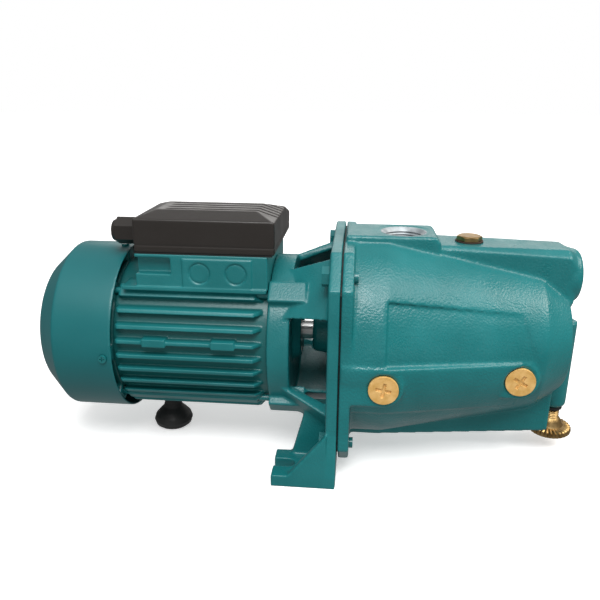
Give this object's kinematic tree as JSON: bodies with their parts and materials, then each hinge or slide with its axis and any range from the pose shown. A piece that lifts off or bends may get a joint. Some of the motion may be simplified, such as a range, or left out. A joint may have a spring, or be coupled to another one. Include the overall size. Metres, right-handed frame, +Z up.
{
  "type": "shallow well jet pump",
  "caption": "Self-priming shallow well jet pump: cast body with top outlet, front inlet and side plugs, on a finned electric motor with a terminal box and slotted feet.",
  "frame": {"origin": "on the ground, under the centre of the overall length and width", "axes": "+X along the shaft from the motor to the suction port, -Y the side with the two pump plugs, +Z up"},
  "size_m": [0.4246, 0.17, 0.196],
  "materials": {
    "cast_body": "hammered teal paint",
    "cast_alloy": "hammered teal paint",
    "cover_sheet": "smooth teal paint",
    "painted_bolts": "teal paint",
    "black_plastic": "satin",
    "white_plastic": "matte",
    "fan_plastic": "matte",
    "capacitor_case": "gloss",
    "bright_brass": "machined",
    "pale_brass": "matt cast",
    "steel": "bright",
    "core_iron": "laminated",
    "cast_aluminium": "as cast",
    "copper_wire": "varnished copper",
    "seal_carbon": "carbon",
    "fibre": "matte",
    "rubber": "matte"
  },
  "bodies": {
    "frame": {"pump_body": "cast_body", "body_gasket": "rubber", "diffuser": "white_plastic", "diffuser_seal": "rubber", "venturi_tube": "white_plastic", "venturi_seal": "rubber", "ejector_nozzle": "bright_brass", "seal_seat": "white_plastic", "front_bearing_outer": "steel", "rear_bearing_outer": "steel", "wave_washer": "steel", "stator_core": "core_iron", "stator_windings": "copper_wire", "motor_frame": "cast_alloy", "rear_end_shield": "cast_alloy", "tie_rods": "painted_bolts", "fan_cover": "cover_sheet", "fan_cover_screws": "painted_bolts", "motor_bracket": "cast_body", "flange_bolts": "painted_bolts", "terminal_gasket": "rubber", "terminal_lid": "black_plastic", "lid_screws": "steel", "cable_gland_body": "black_plastic", "terminal_block": "white_plastic", "terminal_screws": "bright_brass", "capacitor": "capacitor_case", "capacitor_clamp": "steel", "earth_screw": "bright_brass", "rubber_foot": "rubber", "rubber_foot_screw": "steel", "bearing_lip_seal": "rubber"},
    "rotor": {"shaft": "steel", "rotor_core": "core_iron", "rotor_end_rings": "cast_aluminium", "front_bearing_inner": "steel", "rear_bearing_inner": "steel", "fan": "fan_plastic", "fan_clip": "steel", "seal_ring": "seal_carbon", "seal_spring": "steel", "impeller": "bright_brass", "impeller_key": "steel", "impeller_washer": "steel", "impeller_nut": "bright_brass"},
    "front_balls": {"front_bearing_balls": "steel"},
    "rear_balls": {"rear_bearing_balls": "steel"},
    "priming_washer_body": {"priming_washer": "fibre"},
    "priming_plug_body": {"priming_plug": "bright_brass"},
    "pressure_plug_washer_body": {"pressure_plug_washer": "fibre"},
    "pressure_plug_body": {"pressure_plug": "pale_brass"},
    "suction_plug_washer_body": {"suction_plug_washer": "fibre"},
    "suction_plug_body": {"suction_plug": "pale_brass"},
    "drain_seal_ring_body": {"drain_seal_ring": "rubber"},
    "drain_screw_body": {"drain_screw": "bright_brass"},
    "gland_seal_body": {"gland_seal": "rubber"},
    "gland_nut_body": {"cable_gland_nut": "black_plastic"}
  },
  "joints": [
    {"name": "rotor_spin", "type": "hinge", "parent": "frame", "child": "rotor", "pos_m": [0, 0, 0.093], "axis": [1, 0, 0], "continuous": true},
    {"name": "front_ball_spin", "type": "hinge", "parent": "frame", "child": "front_balls", "pos_m": [0, 0, 0.093], "axis": [1, 0, 0], "continuous": true},
    {"name": "rear_ball_spin", "type": "hinge", "parent": "frame", "child": "rear_balls", "pos_m": [0, 0, 0.093], "axis": [1, 0, 0], "continuous": true},
    {"name": "priming_plug_lift", "type": "slide", "parent": "frame", "child": "priming_washer_body", "axis": [0, 0, 1], "range_m": [0, 0.00801]},
    {"name": "priming_plug_turn", "type": "hinge", "parent": "priming_washer_body", "child": "priming_plug_body", "pos_m": [0.116, 0, 0.1718], "axis": [0, 0, 1], "range_deg": [0, 2160]},
    {"name": "pressure_plug_lift", "type": "slide", "parent": "frame", "child": "pressure_plug_washer_body", "axis": [0, -1, 0], "range_m": [0, 0.00749]},
    {"name": "pressure_plug_turn", "type": "hinge", "parent": "pressure_plug_washer_body", "child": "pressure_plug_body", "pos_m": [0.0524, -0.0803, 0.0813], "axis": [0, -1, 0], "range_deg": [0, 1800]},
    {"name": "suction_plug_lift", "type": "slide", "parent": "frame", "child": "suction_plug_washer_body", "axis": [0, -1, 0], "range_m": [0, 0.00749]},
    {"name": "suction_plug_turn", "type": "hinge", "parent": "suction_plug_washer_body", "child": "suction_plug_body", "pos_m": [0.1503, -0.06, 0.0829], "axis": [0, -1, 0], "range_deg": [0, 1800]},
    {"name": "drain_screw_lift", "type": "slide", "parent": "frame", "child": "drain_seal_ring_body", "axis": [0, 0, -1], "range_m": [0, 0.00599]},
    {"name": "drain_screw_turn", "type": "hinge", "parent": "drain_seal_ring_body", "child": "drain_screw_body", "pos_m": [0.195, 0, 0.034], "axis": [0, 0, -1], "range_deg": [0, 1440]},
    {"name": "gland_nut_lift", "type": "slide", "parent": "frame", "child": "gland_seal_body", "axis": [-1, 0, 0], "range_m": [0, 0.00749]},
    {"name": "gland_nut_turn", "type": "hinge", "parent": "gland_seal_body", "child": "gland_nut_body", "pos_m": [-0.15, -0.017, 0.176], "axis": [-1, 0, 0], "range_deg": [0, 1800]}
  ],
  "couplings": [
    {"joint": "front_ball_spin", "follows": "rotor_spin", "ratio": 0.38},
    {"joint": "rear_ball_spin", "follows": "rotor_spin", "ratio": 0.38},
    {"joint": "priming_plug_turn", "follows": "priming_plug_lift", "rad_per_m": 4699.5},
    {"joint": "pressure_plug_turn", "follows": "pressure_plug_lift", "rad_per_m": 4188.8},
    {"joint": "suction_plug_turn", "follows": "suction_plug_lift", "rad_per_m": 4188.8},
    {"joint": "drain_screw_turn", "follows": "drain_screw_lift", "rad_per_m": 4188.8},
    {"joint": "gland_nut_turn", "follows": "gland_nut_lift", "rad_per_m": 4188.8}
  ]
}
